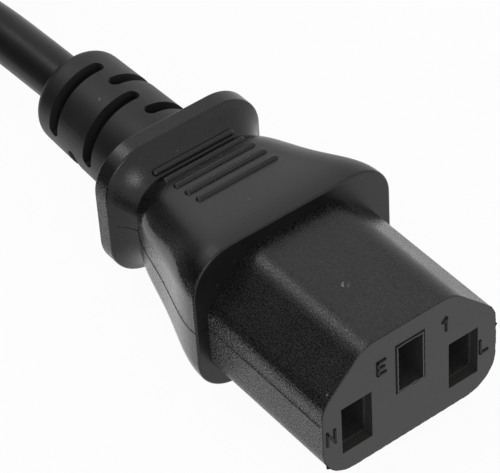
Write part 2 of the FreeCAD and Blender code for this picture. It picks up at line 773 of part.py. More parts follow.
def hank_solid():
    """The outer shape of the folded cord: two round folds, drawn together in the middle by the strap."""
    place = FreeCAD.Vector(number("size.hank_across"), number("size.hank_along"), 0)
    body = new_body("hank_block", FreeCAD.Placement(place, FreeCAD.Rotation()))
    outer = "(size.fold_radius + size.cord_diameter / 2)"
    half_waist, distance = "(size.hank_waist / 2)", "size.fold_half_distance"
    waist_radius = f"({half_waist} ^ 2 + {distance} ^ 2 - {outer} ^ 2) / (2 * ({outer} - {half_waist}))"
    sketch = new_sketch(body, "XY_Plane")
    r, d, w = number(outer), number(distance), number(waist_radius)
    lean = math.atan2(d, number(half_waist) + w)
    up = FreeCAD.Vector(0, 0, 1)
    ends = Part.Circle(FreeCAD.Vector(0, d, 0), up, r), Part.Circle(FreeCAD.Vector(0, -d, 0), up, r)
    side = number(half_waist) + w
    sides = Part.Circle(FreeCAD.Vector(side, 0, 0), up, w), Part.Circle(FreeCAD.Vector(-side, 0, 0), up, w)
    sketch.addGeometry(Part.ArcOfCircle(ends[0], -lean, math.pi + lean))
    sketch.addGeometry(Part.ArcOfCircle(sides[1], -lean, lean))
    sketch.addGeometry(Part.ArcOfCircle(ends[1], math.pi - lean, 2 * math.pi + lean))
    sketch.addGeometry(Part.ArcOfCircle(sides[0], math.pi - lean, math.pi + lean))
    for a, b in (((0, 2), (1, 2)), ((1, 1), (2, 1)), ((2, 2), (3, 2)), ((3, 1), (0, 1))):
        sketch.addConstraint(Sketcher.Constraint("Tangent", *a, *b))
    place_point(sketch, 0, 3, "0", distance)
    place_point(sketch, 2, 3, "0", f"-{distance}")
    for arc, radius in ((0, outer), (2, outer), (1, waist_radius), (3, waist_radius)):
        bind_constraint(sketch, Sketcher.Constraint("Radius", arc, number(radius)), radius)
    height = "size.hank_layers * size.cord_diameter + size.strap_thickness"
    pad(body, sketch, height, reverse=False)
    holes = new_sketch(body, "XY_Plane")
    for way in ("", "-"):
        circle(holes, "0", f"{way}{distance}", "size.fold_radius - size.cord_diameter / 2 - size.hank_slack")
    pocket(body, holes, height, reverse=True)
    return body


def strap():
    """A hook-and-loop strap round the waist of the hank, with its tail lapped over the top."""
    layers = "(size.hank_layers * size.cord_diameter)"
    rise = number(f"{layers} / 2 + size.strap_thickness")
    place = FreeCAD.Vector(number("size.hank_across"), number("size.hank_along"), rise)
    body = new_body("cord_tie", FreeCAD.Placement(place, FreeCAD.Rotation()))
    start = "-size.strap_width / 2"
    sketch = new_sketch(body, "XZ_Plane", start)
    across, tall = "(size.hank_waist / 2)", f"({layers} / 2)"
    rounded_rectangle(sketch, across, tall, "size.strap_corner")
    outer = ("size.strap_thickness", "size.strap_thickness", "size.strap_thickness")
    grown = [f"({a} + {b})" for a, b in zip((across, tall, "size.strap_corner"), outer)]
    rounded_rectangle(sketch, *grown)
    pad(body, sketch, "size.strap_width")
    tail = new_sketch(body, "XZ_Plane", start)
    top, lap = f"({tall} + size.strap_thickness)", f"({tall} + 2 * size.strap_thickness)"
    fold = f"{across} - size.strap_corner"
    loose_end = f"{fold} - size.strap_tail"
    polygon(tail, [(fold, top), (fold, lap), (loose_end, lap), (loose_end, top)])
    pad(body, tail, "size.strap_width")
    return body


def jacket_end(name, frame, length):
    """The jacket held in the strain relief and the grip."""
    start = f"{length} - size.jacket_grip"
    return rod(name, frame, "0", start, "0", "size.cord_diameter", "size.jacket_grip")


def main():
    hank, tie = hank_solid(), strap()
    held = jacket_end("connector_jacket", CONNECTOR_FRAME, CONNECTOR_LENGTH)
    free = tube("connector_lead", CONNECTOR_ROUTE, "size.cord_diameter")
    first_lead = cut("cord_lead_connector", fused("connector_lead_whole", [held, free]), hank)
    plug_held = jacket_end("plug_jacket", PLUG_FRAME, PLUG_LENGTH)
    plug_free = tube("plug_lead", PLUG_ROUTE, "size.cord_diameter")
    last_lead = cut("cord_lead_plug", fused("plug_lead_whole", [plug_free, plug_held]), hank)
    nodes = [*connector(held), first_lead, cut("cord_hank", hank, tie), tie, last_lead, *plug(plug_held)]
    doc.recompute()
    failed = [o.Label for o in doc.Objects if {"Invalid", "Error"} & set(o.State)]
    for node in nodes:
        if node.Shape.isNull() or not node.Shape.isValid() or len(node.Shape.Solids) != 1:
            failed.append(node.Label)
    if failed:
        raise RuntimeError(f"these didn't build: {failed}")
    os.makedirs("parts", exist_ok=True)
    for node in nodes:
        node.Shape.exportStep(f"parts/{node.Label}.step")
        print(node.Label, round(node.Shape.Volume, 1), "mm3")


main()
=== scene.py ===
import math

import bmesh
import bpy
from mathutils import Matrix, Vector
from mathutils.bvhtree import BVHTree


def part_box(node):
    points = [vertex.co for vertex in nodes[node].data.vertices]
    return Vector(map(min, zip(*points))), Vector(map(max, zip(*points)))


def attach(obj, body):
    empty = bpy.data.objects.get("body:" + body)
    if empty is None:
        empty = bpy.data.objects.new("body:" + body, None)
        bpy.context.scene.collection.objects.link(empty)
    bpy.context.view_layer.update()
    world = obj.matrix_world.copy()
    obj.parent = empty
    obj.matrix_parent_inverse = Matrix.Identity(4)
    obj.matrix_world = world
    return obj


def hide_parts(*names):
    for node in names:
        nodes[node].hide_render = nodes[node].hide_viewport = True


# A black mains extension cord seen close to: the socket connector fills the picture, and its cord leaves
# at the upper left. Lengths are metres, in the part's own frame: +Y from the mating face to the cord.

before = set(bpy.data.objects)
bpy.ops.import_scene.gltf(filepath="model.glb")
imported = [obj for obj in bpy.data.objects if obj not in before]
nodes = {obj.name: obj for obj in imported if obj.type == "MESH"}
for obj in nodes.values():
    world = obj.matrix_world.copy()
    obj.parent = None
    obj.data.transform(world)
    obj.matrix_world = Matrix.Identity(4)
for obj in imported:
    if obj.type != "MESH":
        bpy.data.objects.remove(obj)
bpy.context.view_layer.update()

MM = 0.001
# Along the connector: its mating face, shoulder, waist and the start of its strain relief
FACE_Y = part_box("connector_overmould")[0].y
SHOULDER_Y = FACE_Y + 18.7 * MM
WAIST_Y = SHOULDER_Y + 16.7 * MM
RELIEF_Y = 10.7 * MM
# The height of its axis, and a distance from the axis that is well outside it
AXIS_Z = 9.6 * MM
OUTSIDE = 50 * MM

# The cord, and its routes as the solids have them
CORD_DIAMETER = 6.0 * MM
CONNECTOR_ROUTE = [
    (0.0, 0.0294, 0.0096),
    (0.0, 0.0320, 0.0096),
    (-0.00035, 0.0495, 0.0091),
    (-0.0014, 0.0605, 0.0062),
    (-0.0042, 0.0710, 0.0037),
    (-0.0084, 0.0815, 0.0031),
    (-0.0098, 0.0910, 0.0032),
]
PLUG_ROUTE = [
    (-0.0098, 0.1630, 0.0210),
    (-0.0094, 0.1745, 0.0208),
    (-0.0064, 0.1860, 0.0186),
    (-0.0024, 0.1980, 0.0144),
    (0.0, 0.2110, 0.0102),
    (0.0, 0.2230, 0.0102),
]

# The strap round the hank's waist
STRAP_WIDTH = 10.0 * MM
STRAP_THICKNESS = 1.0 * MM
STRAP_CORNER = 3.2 * MM
STRAP_EDGE = 0.2 * MM
STRAP_STEPS = 8
# Its tail: how far past the middle it ends, as a share of the half width, and how far that end is lifted
TAIL_REACH = 0.45
TAIL_LIFT = 0.35 * MM

# The hank: two round folds drawn together at a waist, one lane each way, in layers
HANK_MIDDLE = Vector((0.008, 0.127, 0.0))
FOLD_RADIUS = 18.0 * MM
FOLD_HALF_DISTANCE = 37.0 * MM
LANE_FROM_MIDDLE = 3.2 * MM
LAYERS = 4
# How many corners the cord's chain has on the end of a fold, a lane, a level fold and a climbing fold
END_CORNERS, LANE_CORNERS, FOLD_CORNERS, CLIMB_CORNERS = 2, 4, 10, 8
# The share of a fold in which the cord climbs, and how far from the waist the strap below lifts it
CLIMB_SHARE = 0.6
LIFT_REACH = 1.6 * STRAP_WIDTH


# Shader helpers


class Shader:
    """A Principled material with helpers for its procedural parts."""

    def __init__(self, name, color, roughness, **sockets):
        self.material = bpy.data.materials.new(name)
        self.material.use_nodes = True
        self.tree = self.material.node_tree
        self.bsdf = self.tree.nodes["Principled BSDF"]
        self.bsdf.inputs["Base Color"].default_value = (*color, 1)
        self.bsdf.inputs["Roughness"].default_value = roughness
        for socket, value in sockets.items():
            self.bsdf.inputs[socket.replace("_", " ")].default_value = value
        self.place = self.node("ShaderNodeTexCoord").outputs["Object"]

    def node(self, kind, **properties):
        made = self.tree.nodes.new(kind)
        for key, value in properties.items():
            setattr(made, key, value)
        return made

    def link(self, source, target):
        self.tree.links.new(source, target)

    def noise(self, size, detail=2.0, roughness=0.5, stretch=(1, 1, 1)):
        """A noise whose features are about size metres across."""
        mapping = self.node("ShaderNodeMapping")
        mapping.inputs["Scale"].default_value = stretch
        self.link(self.place, mapping.inputs["Vector"])
        texture = self.node("ShaderNodeTexNoise")
        texture.inputs["Scale"].default_value = 1 / size
        texture.inputs["Detail"].default_value = detail
        texture.inputs["Roughness"].default_value = roughness
        self.link(mapping.outputs["Vector"], texture.inputs["Vector"])
        return texture.outputs["Fac"]

    def ramp(self, source, low, high, out_low=0.0, out_high=1.0):
        """Map a value from one range to another, clamped."""
        made = self.node("ShaderNodeMapRange")
        for socket, value in (
            ("From Min", low),
            ("From Max", high),
            ("To Min", out_low),
            ("To Max", out_high),
        ):
            made.inputs[socket].default_value = value
        self.link(source, made.inputs["Value"])
        return made.outputs["Result"]

    def math(self, operation, a, b=0):
        made = self.node("ShaderNodeMath", operation=operation)
        for value, socket in zip((a, b), made.inputs):
            if isinstance(value, (int, float)):
                socket.default_value = value
            else:
                self.link(value, socket)
        return made.outputs["Value"]

    def total(self, first, *others):
        """The sum of several outputs."""
        for other in others:
            first = self.math("ADD", first, other)
        return first

    def product(self, first, *others):
        """The product of several outputs."""
        for other in others:
            first = self.math("MULTIPLY", first, other)
        return first

    def mix(self, factor, a, b):
        """Blend two colours, each a tuple or an output."""
        made = self.node("ShaderNodeMix", data_type="RGBA")
        self.link(factor, made.inputs["Factor"])
        # This node has sockets for every kind of value under the same names: these are the colours
        for value, socket in ((a, made.inputs[6]), (b, made.inputs[7])):
            if isinstance(value, tuple):
                socket.default_value = (*value, 1)
            else:
                self.link(value, socket)
        return made.outputs[2]

    def color(self, source):
        self.link(source, self.bsdf.inputs["Base Color"])

    def roughness(self, source):
        self.link(source, self.bsdf.inputs["Roughness"])

    def bump(self, height, distance, strength=1.0, under=None):
        made = self.node("ShaderNodeBump")
        made.inputs["Strength"].default_value = strength
        made.inputs["Distance"].default_value = distance
        self.link(height, made.inputs["Height"])
        if under is not None:
            self.link(under, made.inputs["Normal"])
        self.link(made.outputs["Normal"], self.bsdf.inputs["Normal"])
        return made.outputs["Normal"]

    def separate(self, vector):
        made = self.node("ShaderNodeSeparateXYZ")
        self.link(vector, made.inputs["Vector"])
        return made.outputs


# Finishes

# The windows' walls, made paler with painted light: how deep they go, and how far from the axis they reach
WINDOW_DEPTH = 1.25 * MM
WINDOW_SLANT = 13.2 * MM
WINDOW_REACH = 10.4 * MM
WINDOW_HIGH = 6.2 * MM
# A small pale scuff on top of the nose
SCUFF_PLACE = Vector((-1.6, -21.3, 17.5)) * MM
SCUFF_RADIUS = 0.5 * MM
# Where the shoulder's dull finish starts to end and is gone, and over what length the flanks' gloss ends
DULL_FROM, DULL_TO = SHOULDER_Y + 4.7 * MM, SHOULDER_Y + 11.7 * MM
GLOSS_FADE = 3 * MM
# The unit of length in which the other finishes run into each other
FADE = 0.1 * MM
# How far a surface faces sideways on a flank and on a side, and endways on an end: at its start, and in full
FLANK_FACING, SIDE_FACING, END_FACING = (0.6, 0.85), (0.9, 0.99), (0.8, 0.95)
# The range that holds most of a noise
NOISE_RANGE = (0.3, 0.7)
# Sizes of the moulded grain, the slow mottle, the soft unevenness and the specks
GRAIN_SIZE, MOTTLE_SIZE, UNEVEN_SIZE, SPECK_SIZE = 0.16 * MM, 4 * MM, 2.5 * MM, 0.5 * MM
# How fast the earth core's stripes follow each other, in radians for each metre
STRIPE_RATE = 4200.0


def window_space(s, place):
    """1 in the space that holds the three windows, and 0 outside it."""
    across = s.math("ABSOLUTE", place["X"])
    off_axis = s.math("ABSOLUTE", s.math("SUBTRACT", place["Z"], AXIS_Z))
    limits = (
        (place["Y"], FACE_Y + WINDOW_DEPTH),
        (s.math("ADD", across, place["Z"]), AXIS_Z + WINDOW_SLANT),
        (across, WINDOW_REACH),
        (off_axis, WINDOW_HIGH),
    )
    return s.product(*[s.ramp(value, limit, limit + FADE, 1.0, 0.0) for value, limit in limits])


def moulded_pvc():
    """Black PVC from a spark-eroded mould: grained on the nose, most on its sides, smoother on the mating
    face and behind the nose, glossy in spots on the grip's flanks, dull on the relief and on the shoulder
    apart from its sides, with a very few pale specks and a scuff. Painted reflection makes the sides and
    the end faces paler and the sides' grain brighter, and painted light makes the windows' walls paler."""
    s = Shader("black_pvc", (0.0065, 0.0065, 0.0065), 0.3, Specular_IOR_Level=0.36)
    normal = s.separate(s.node("ShaderNodeNewGeometry").outputs["True Normal"])
    place = s.separate(s.place)
    along = place["Y"]
    sideways = s.math("ABSOLUTE", normal["X"])
    on_side = s.ramp(sideways, *SIDE_FACING)
    on_end = s.ramp(s.math("ABSOLUTE", normal["Y"]), *END_FACING)
    behind_nose = s.ramp(along, SHOULDER_Y - 2 * FADE, SHOULDER_Y + 3 * FADE)
    on_shoulder = s.product(behind_nose, s.ramp(along, DULL_FROM, DULL_TO, 1.0, 0.0))
    before_waist = s.ramp(along, WAIST_Y - GLOSS_FADE, WAIST_Y, 1.0, 0.0)
    on_flank = s.product(behind_nose, s.ramp(sideways, *FLANK_FACING), before_waist)
    on_relief = s.ramp(along, RELIEF_Y, RELIEF_Y + 5 * FADE)
    from_shoulder = s.math("ABSOLUTE", s.math("SUBTRACT", along, SHOULDER_Y))
    off_step = s.ramp(from_shoulder, 5 * FADE, 6 * FADE)
    in_window = s.product(window_space(s, place), s.ramp(on_end, 0, 1, 1.0, 0.0))

    share = s.ramp(on_end, 0, 1, 1.0, 0.08)
    for mask, kept in ((behind_nose, 0.4), (on_relief, 0.2), (in_window, 0.1)):
        share = s.product(share, s.ramp(mask, 0, 1, 1.0, kept))
    grain = s.product(s.math("SUBTRACT", s.noise(GRAIN_SIZE, detail=1.0), 0.5), share)
    mottle = s.noise(MOTTLE_SIZE, detail=3.0)
    soft = s.bump(s.noise(UNEVEN_SIZE, detail=2.0), 0.01 * MM, 0.5)
    grain_height = s.product(grain, s.ramp(on_side, 0, 1, 1.0, 8.0), s.ramp(on_flank, 0, 1, 1.0, 0.3))
    s.bump(grain_height, 0.05 * MM, 0.8, under=soft)
    s.roughness(
        s.total(
            s.ramp(mottle, *NOISE_RANGE, 0.26, 0.32),
            s.product(grain, s.ramp(on_flank, 0, 1, 0.7, 3.5)),
            s.product(on_shoulder, s.ramp(sideways, *FLANK_FACING, 0.12, -0.1)),
            s.ramp(on_flank, 0, 1, 0.0, -0.18),
            s.ramp(on_relief, 0, 1, 0.0, 0.2),
        )
    )

    shade = s.total(
        s.ramp(behind_nose, 0, 1, 0.008, 0.005),
        # Painted reflection of the floor: faces that look along the connector, apart from the shoulder's
        # step, are paler
        s.ramp(s.product(on_end, off_step), 0, 1, 0.0, 0.012),
        # Painted reflection: the sides are paler
        s.ramp(on_side, 0, 1, 0.0, 0.02),
        s.ramp(mottle, *NOISE_RANGE, -0.002, 0.002),
        # The grain's own tone, many times stronger on the sides as painted glints
        s.product(grain, s.ramp(on_side, 0, 1, 0.06, 0.9)),
    )
    shade = s.math("MAXIMUM", shade, 0.002)
    shade = s.mix(s.ramp(s.noise(SPECK_SIZE, detail=0.0), 0.87, 0.89), shade, (0.1, 0.1, 0.095))
    from_scuff = s.node("ShaderNodeVectorMath", operation="DISTANCE")
    s.link(s.place, from_scuff.inputs[0])
    from_scuff.inputs[1].default_value = SCUFF_PLACE
    near_scuff = s.ramp(from_scuff.outputs["Value"], 0.6 * SCUFF_RADIUS, SCUFF_RADIUS, 1.0, 0.0)
    scuff = s.product(near_scuff, s.ramp(s.noise(SPECK_SIZE, detail=2.0), 0.52, 0.58))
    shade = s.mix(scuff, shade, (0.22, 0.22, 0.21))
    # Painted light: the windows' walls are given a paler colour
    s.color(s.mix(in_window, shade, (0.04, 0.04, 0.038)))
    return s.material


def shaded_mark_pvc():
    """The terminal marks' smoother skin, darkened with painted shade."""
    s = Shader("shaded_mark_pvc", (0.004, 0.004, 0.004), 0.3, Specular_IOR_Level=0.16)
    worn = s.noise(0.6 * MM, detail=2.0)
    # Painted shade: the marks' colour is darker than the moulding's
    s.color(s.mix(s.ramp(worn, *NOISE_RANGE), (0.003, 0.003, 0.003), (0.006, 0.006, 0.006)))
    s.roughness(s.ramp(worn, *NOISE_RANGE, 0.26, 0.36))
    return s.material


def cord_pvc():
    """The extruded jacket: smoother than the mouldings, with faint lines and slow waves along it."""
    s = Shader("cord_pvc", (0.0065, 0.0065, 0.0065), 0.34, Specular_IOR_Level=0.2)
    waves = s.noise(6 * MM, detail=2.0)
    fine = s.noise(0.7 * MM, detail=2.0)
    s.bump(fine, 0.02 * MM, 0.5, under=s.bump(waves, 0.1 * MM, 0.5))
    s.roughness(s.ramp(waves, *NOISE_RANGE, 0.3, 0.38))
    s.color(s.mix(s.ramp(fine, *NOISE_RANGE), (0.0055, 0.0055, 0.0055), (0.0075, 0.0075, 0.0075)))
    return s.material


def flash_line():
    """The dull dark edge where the mould's halves met."""
    s = Shader("flash_line", (0.005, 0.005, 0.005), 0.7, Specular_IOR_Level=0.1)
    worn = s.noise(1.2 * MM, detail=3.0)
    s.color(s.mix(s.ramp(worn, 0.35, 0.65), (0.003, 0.003, 0.003), (0.009, 0.009, 0.009)))
    s.roughness(s.ramp(worn, 0.35, 0.65, 0.6, 0.75))
    return s.material


def carrier_plastic():
    """The harder inner carrier, black with a fine even grain."""
    s = Shader("carrier_plastic", (0.035, 0.035, 0.036), 0.45)
    grain = s.noise(0.4 * MM, detail=2.0)
    s.bump(grain, 0.04 * MM, 0.5)
    s.color(s.mix(s.ramp(grain, *NOISE_RANGE), (0.02, 0.02, 0.021), (0.034, 0.034, 0.035)))
    s.roughness(s.ramp(grain, *NOISE_RANGE, 0.4, 0.52))
    return s.material


def metal(name, dark, pale, roughness, stretch):
    """Drawn or stamped metal with lines along its length and a little tarnish."""
    s = Shader(name, pale, roughness, Metallic=1.0)
    lines = s.noise(0.4 * MM, detail=3.0, stretch=stretch)
    tarnish = s.noise(3 * MM, detail=3.0)
    s.color(s.mix(s.ramp(tarnish, 0.35, 0.7), pale, dark))
    s.roughness(s.ramp(lines, *NOISE_RANGE, roughness - 0.06, roughness + 0.1))
    s.bump(lines, 0.02 * MM, 0.4)
    return s.material


def insulation(name, dark, pale, stripe=None):
    """A core's coloured insulation, with a second colour in stripes along it where given."""
    s = Shader(name, pale, 0.4)
    mottle = s.noise(1.5 * MM, detail=2.0)
    shade = s.mix(s.ramp(mottle, *NOISE_RANGE), dark, pale)
    if stripe:
        bands = s.math("SINE", s.math("MULTIPLY", s.separate(s.place)["Z"], STRIPE_RATE))
        shade = s.mix(s.ramp(bands, -0.1, 0.1), shade, stripe)
    s.color(shade)
    s.bump(mottle, 0.03 * MM, 0.4)
    return s.material


def strap_fabric():
    """Hook-and-loop strap: a fuzzy woven face."""
    s = Shader("strap_fabric", (0.02, 0.02, 0.022), 0.9, Sheen_Weight=0.3)
    threads = s.node("ShaderNodeTexWave", wave_type="BANDS", bands_direction="DIAGONAL")
    threads.inputs["Scale"].default_value = 380
    threads.inputs["Distortion"].default_value = 3.0
    s.link(s.place, threads.inputs["Vector"])
    fuzz = s.noise(0.3 * MM, detail=4.0, roughness=0.7)
    s.bump(fuzz, 0.25 * MM, 0.9, under=s.bump(threads.outputs["Fac"], 0.2 * MM, 0.7))
    s.color(s.mix(s.ramp(fuzz, *NOISE_RANGE), (0.012, 0.012, 0.013), (0.034, 0.034, 0.037)))
    s.roughness(s.ramp(fuzz, *NOISE_RANGE, 0.8, 0.95))
    return s.material


BLACK_PVC = moulded_pvc()
SHADED_MARK_PVC = shaded_mark_pvc()
CORD_PVC = cord_pvc()
FLASH = flash_line()
CARRIER = carrier_plastic()
STRAP = strap_fabric()
BRASS = metal("contact_brass", (0.42, 0.26, 0.1), (0.72, 0.53, 0.26), 0.3, (1, 0.1, 1))
PIN_METAL = metal("pin_nickel", (0.46, 0.44, 0.4), (0.72, 0.71, 0.68), 0.24, (1, 0.1, 1))
COPPER = metal("strand_copper", (0.45, 0.18, 0.08), (0.78, 0.42, 0.24), 0.32, (1, 0.15, 1))
CORES = {
    "line": insulation("core_brown", (0.12, 0.05, 0.02), (0.2, 0.09, 0.04)),
    "neutral": insulation("core_blue", (0.03, 0.12, 0.4), (0.05, 0.17, 0.5)),
    "earth": insulation("core_earth", (0.18, 0.36, 0.04), (0.25, 0.45, 0.06), (0.75, 0.6, 0.03)),
}


def paint(item, material):
    item.data.materials.clear()
    item.data.materials.append(material)


def dress_nodes():
    """Give each solid its finish, apart from those that the cord and the strap replace."""
    for end in ("connector", "plug"):
        paint(nodes[f"{end}_overmould"], BLACK_PVC)
        paint(nodes[f"{end}_insert"], CARRIER)
        for pole, material in CORES.items():
            paint(nodes[f"{end}_core_{pole}"], material)
            paint(nodes[f"{end}_strand_{pole}"], COPPER)
    for pole in CORES:
        paint(nodes[f"contact_{pole}"], BRASS)
        paint(nodes[f"pin_{pole}"], PIN_METAL)


# Pieces


def add(name, data, material):
    """A new piece on the part's one body."""
    item = bpy.data.objects.new(name, data)
    bpy.context.scene.collection.objects.link(item)
    item.data.materials.append(material)
    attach(item, "root")
    return item


def arc(middle, radius, start, turn, count):
    """Corners of a chain of equal runs drawn round an arc, which a spline then follows; angles in degrees."""
    step = math.radians(turn) / count
    reach = radius / math.cos(step / 2)
    angles = [math.radians(start) + (i + 0.5) * step for i in range(count)]
    return [(middle[0] + reach * math.cos(a), middle[1] + reach * math.sin(a)) for a in angles]


def hank_turns():
    """The folded cord: along the left lane, round the far fold, back along the right lane, and round the
    near fold, where it climbs to the next layer; the last layer ends after its left lane."""
    half, lane = FOLD_HALF_DISTANCE, LANE_FROM_MIDDLE
    # Each lane is an arc into both folds: its radius, how far off its middle lies, and half its turn
    waist = (half * half + lane * lane - FOLD_RADIUS**2) / (2 * (FOLD_RADIUS - lane))
    side = waist + lane
    lean = math.degrees(math.atan2(half, side))
    near, far = (0, -half), (0, half)
    points = []

    def lay(corners, layer, climbs=False):
        for i, (across, along) in enumerate(corners):
            climb = min(1.0, (i + 0.5) / (CLIMB_SHARE * len(corners))) if climbs else 0
            rise = climb * climb * (3 - 2 * climb)
            lift = STRAP_THICKNESS * max(0.0, 1 - (along / LIFT_REACH) ** 2)
            z = CORD_DIAMETER * (layer + rise + 0.5) + lift
            points.append(HANK_MIDDLE + Vector((across, along, z)))

    for layer in range(LAYERS):
        lay(arc(near, FOLD_RADIUS, 180, lean - 90, END_CORNERS), layer)
        lay(arc((-side, 0), waist, -lean, 2 * lean, LANE_CORNERS), layer)
        if layer == LAYERS - 1:
            lay(arc(far, FOLD_RADIUS, 270 - lean, lean - 90, END_CORNERS), layer)
        else:
            lay(arc(far, FOLD_RADIUS, 270 - lean, 2 * lean - 360, FOLD_CORNERS), layer)
            lay(arc((side, 0), waist, 180 - lean, 2 * lean, LANE_CORNERS), layer)
            lay(arc(near, FOLD_RADIUS, 90 - lean, lean - 270, CLIMB_CORNERS), layer, climbs=True)
    return points


def make_cord():
    """The whole cord as one smooth line, from the connector's relief to the plug's."""
    route = [*map(Vector, CONNECTOR_ROUTE), *hank_turns(), *map(Vector, PLUG_ROUTE)]
    curve = bpy.data.curves.new("cord", "CURVE")
    curve.dimensions = "3D"
    spline = curve.splines.new("NURBS")
    spline.points.add(len(route) - 1)
    for control, place in zip(spline.points, route):
        control.co = (*place, 1)
    spline.order_u = 3
    spline.use_endpoint_u = True
    spline.resolution_u = 8
    curve.bevel_depth = CORD_DIAMETER / 2
    curve.bevel_resolution = 7
    curve.use_fill_caps = True
    cord = add("cord", curve, CORD_PVC)
    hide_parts("cord_lead_connector", "cord_hank", "cord_lead_plug")
    return cord


def mesh_from(form, name):
    bmesh.ops.recalc_face_normals(form, faces=form.faces)
    mesh = bpy.data.meshes.new(name)
    form.to_mesh(mesh)
    form.free()
    return mesh


def ribbon(form, line, thickness, edges, closed):
    """A thin strip along a line of points and outward normals, between two edges in y."""
    rows = []
    for y in edges:
        outer = [form.verts.new((p.x, y, p.z)) for p, _ in line]
        inner = [form.verts.new((p.x - n.x * thickness, y, p.z - n.z * thickness)) for p, n in line]
        rows.append((outer, inner))
    (near_out, near_in), (far_out, far_in) = rows
    count = len(line)
    for i in range(count if closed else count - 1):
        j = (i + 1) % count
        form.faces.new((near_out[i], near_out[j], far_out[j], far_out[i]))
        form.faces.new((near_in[j], near_in[i], far_in[i], far_in[j]))
        form.faces.new((near_out[j], near_out[i], near_in[i], near_in[j]))
        form.faces.new((far_out[i], far_out[j], far_in[j], far_in[i]))
    if not closed:
        for i in (0, count - 1):
            form.faces.new((near_out[i], far_out[i], far_in[i], near_in[i]))


def make_strap():
    """The strap as a thin band round the hank's waist, its tail lapped over the top."""
    low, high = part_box("cord_tie")
    band_top = high.z - STRAP_THICKNESS
    middle_x, half_x = (low.x + high.x) / 2, (high.x - low.x) / 2
    ring = []
    for right, up, start in ((1, 0, -90), (1, 1, 0), (-1, 1, 90), (-1, 0, 180)):
        across = middle_x + right * (half_x - STRAP_CORNER)
        centre = Vector((across, 0, band_top - STRAP_CORNER if up else STRAP_CORNER))
        for i in range(STRAP_STEPS + 1):
            angle = math.radians(start + 90 * i / STRAP_STEPS)
            normal = Vector((math.cos(angle), 0, math.sin(angle)))
            ring.append((centre + normal * STRAP_CORNER, normal))
    tail = []
    tail_start, tail_end = middle_x + half_x - STRAP_CORNER, middle_x - TAIL_REACH * half_x
    for i in range(STRAP_STEPS + 1):
        share = i / STRAP_STEPS
        height = high.z - STRAP_THICKNESS / 2 + TAIL_LIFT * share**3
        place = Vector((tail_start + (tail_end - tail_start) * share, 0, height))
        tail.append((place, Vector((0, 0, 1))))
    form = bmesh.new()
    ribbon(form, ring, STRAP_THICKNESS, (low.y, high.y), closed=True)
    ribbon(form, tail, STRAP_THICKNESS / 2, (low.y, high.y), closed=False)
    strap = add("strap", mesh_from(form, "strap"), STRAP)
    bevel = strap.modifiers.new("soft_edges", "BEVEL")
    bevel.width = STRAP_EDGE
    bevel.segments = 2
    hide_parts("cord_tie")
    return strap


def surface_of(node):
    """A tree for finding points on a solid's surface."""
    mesh = nodes[node].data
    return BVHTree.FromPolygons([v.co for v in mesh.vertices], [p.vertices for p in mesh.polygons])


# A parting line: where it runs, half its width, how far it stands out, and how far its foot is sunk
PARTING_START, PARTING_END = FACE_Y + 0.4 * MM, 8.0 * MM
PARTING_STEPS = 90
PARTING_HALF_WIDTH = 0.07 * MM
PARTING_PROUD, PARTING_SUNK = 0.045 * MM, 0.05 * MM


def make_parting_line(name, side):
    """The thin flash that the mould's two halves leave along one side of the connector."""
    tree = surface_of("connector_overmould")
    inwards, half = Vector((-side, 0, 0)), Vector((0, 0, PARTING_HALF_WIDTH))
    form = bmesh.new()
    rows = []
    for i in range(PARTING_STEPS + 1):
        y = PARTING_START + (PARTING_END - PARTING_START) * i / PARTING_STEPS
        found = tree.ray_cast(Vector((side * OUTSIDE, y, AXIS_Z)), inwards)[0]
        crest, root = found - inwards * PARTING_PROUD, found + inwards * PARTING_SUNK
        rows.append([form.verts.new(p) for p in (root + half, crest, root - half)])
    for a, b in zip(rows, rows[1:]):
        for i, j in ((0, 1), (1, 2), (2, 0)):
            form.faces.new((a[i], a[j], b[j], b[i]))
    form.faces.new(rows[0])
    form.faces.new(rows[-1])
    add(name, mesh_from(form, name), FLASH)


# The strokes of each terminal mark, in shares of its height
MARK_STROKES = {
    "E": [((0.55, 0), (0, 0)), ((0, 0), (0, 1)), ((0, 1), (0.55, 1)), ((0, 0.5), (0.45, 0.5))],
    "L": [((0.55, 0), (0, 0)), ((0, 0), (0, 1))],
    "N": [((0, 0), (0, 1)), ((0, 1), (0.55, 0)), ((0.55, 0), (0.55, 1))],
    "1": [((0.25, 0), (0.25, 1)), ((0.25, 1), (0, 0.75))],
}
# Lower left corner of each raised mark on the mating face, from the moulding's axis, in millimetres
MARK_PLACES = {"E": (-4.15, 2.9), "L": (9.3, -2.8), "N": (-10.75, -2.8), "1": (4.35, 3.5)}
MARK_HEIGHT = 1.7 * MM
MARK_STROKE = 0.34 * MM
MARK_PROUD = 0.14 * MM
MARK_EDGE = 0.08 * MM


def make_mark(letter):
    """A small raised terminal mark, each stroke a rounded bar."""
    across, up = (v * MM for v in MARK_PLACES[letter])
    form = bmesh.new()
    for stroke in MARK_STROKES[letter]:
        start, end = (
            Vector((across + x * MARK_HEIGHT, FACE_Y, AXIS_Z + up + z * MARK_HEIGHT)) for x, z in stroke
        )
        run = end - start
        made = bmesh.ops.create_cube(form, size=1.0)["verts"]
        bar = (run.length + MARK_STROKE, 2 * MARK_PROUD, MARK_STROKE)
        bmesh.ops.scale(form, vec=bar, verts=made)
        turn = Matrix.Rotation(-math.atan2(run.z, run.x), 4, "Y")
        bmesh.ops.transform(form, matrix=Matrix.Translation((start + end) / 2) @ turn, verts=made)
    name = f"mark_{letter}"
    mark = add(name, mesh_from(form, name), SHADED_MARK_PVC)
    bevel = mark.modifiers.new("round", "BEVEL")
    bevel.width = MARK_EDGE
    bevel.segments = 2


